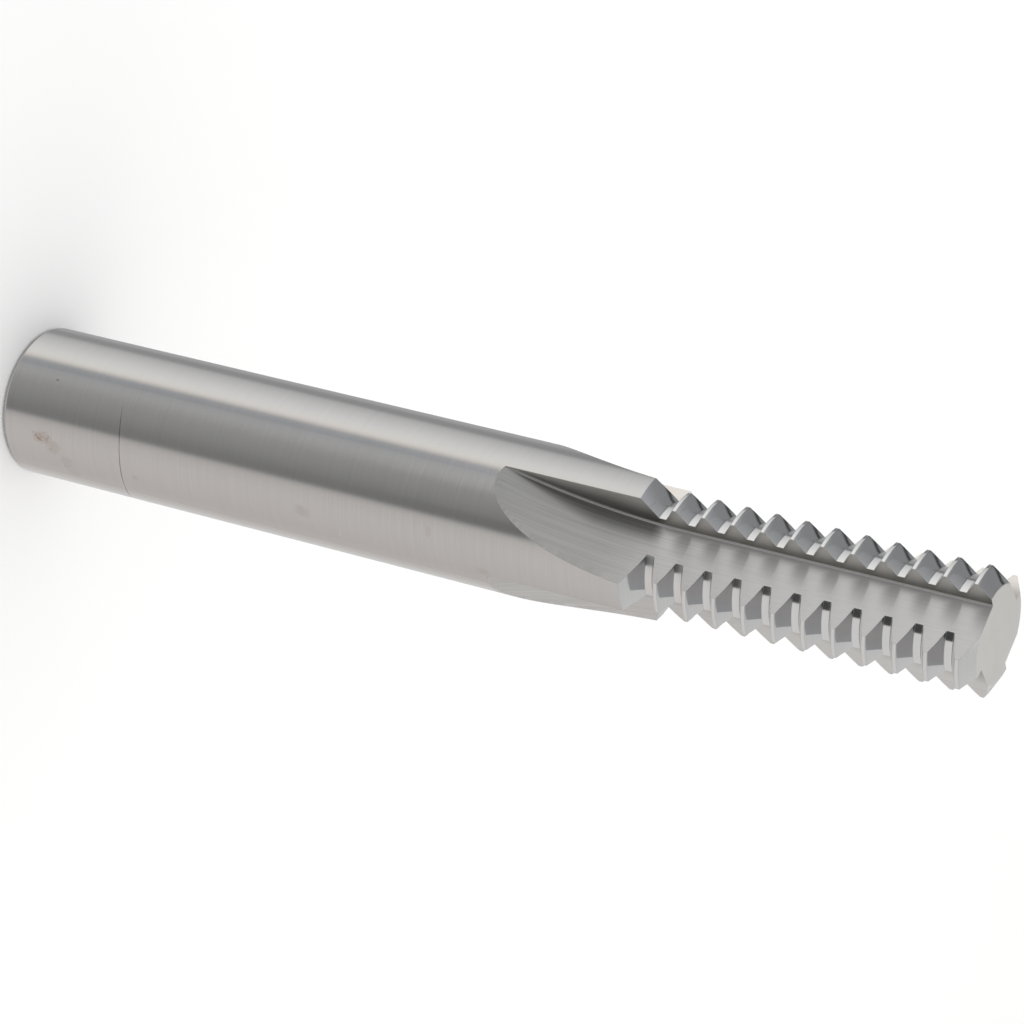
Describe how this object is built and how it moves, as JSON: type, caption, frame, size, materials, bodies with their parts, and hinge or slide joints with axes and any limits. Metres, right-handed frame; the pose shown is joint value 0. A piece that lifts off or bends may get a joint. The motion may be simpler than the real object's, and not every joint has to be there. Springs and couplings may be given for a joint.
{
  "type": "thread mill",
  "caption": "Straight-flute solid thread mill: plain cylindrical shank, flutes with ground run-outs, and lands of relieved thread-form teeth that mill internal or external threads.",
  "frame": {"origin": "centre of the flat shank end, on the tool axis", "axes": "+Z along the tool axis from the shank end to the cutting end; +X through one cutting edge"},
  "size_m": [0.0126, 0.0126, 0.0889],
  "materials": {
    "ground_carbide": "satin ground"
  },
  "bodies": {
    "root": {"thread_mill": "ground_carbide"}
  },
  "joints": []
}
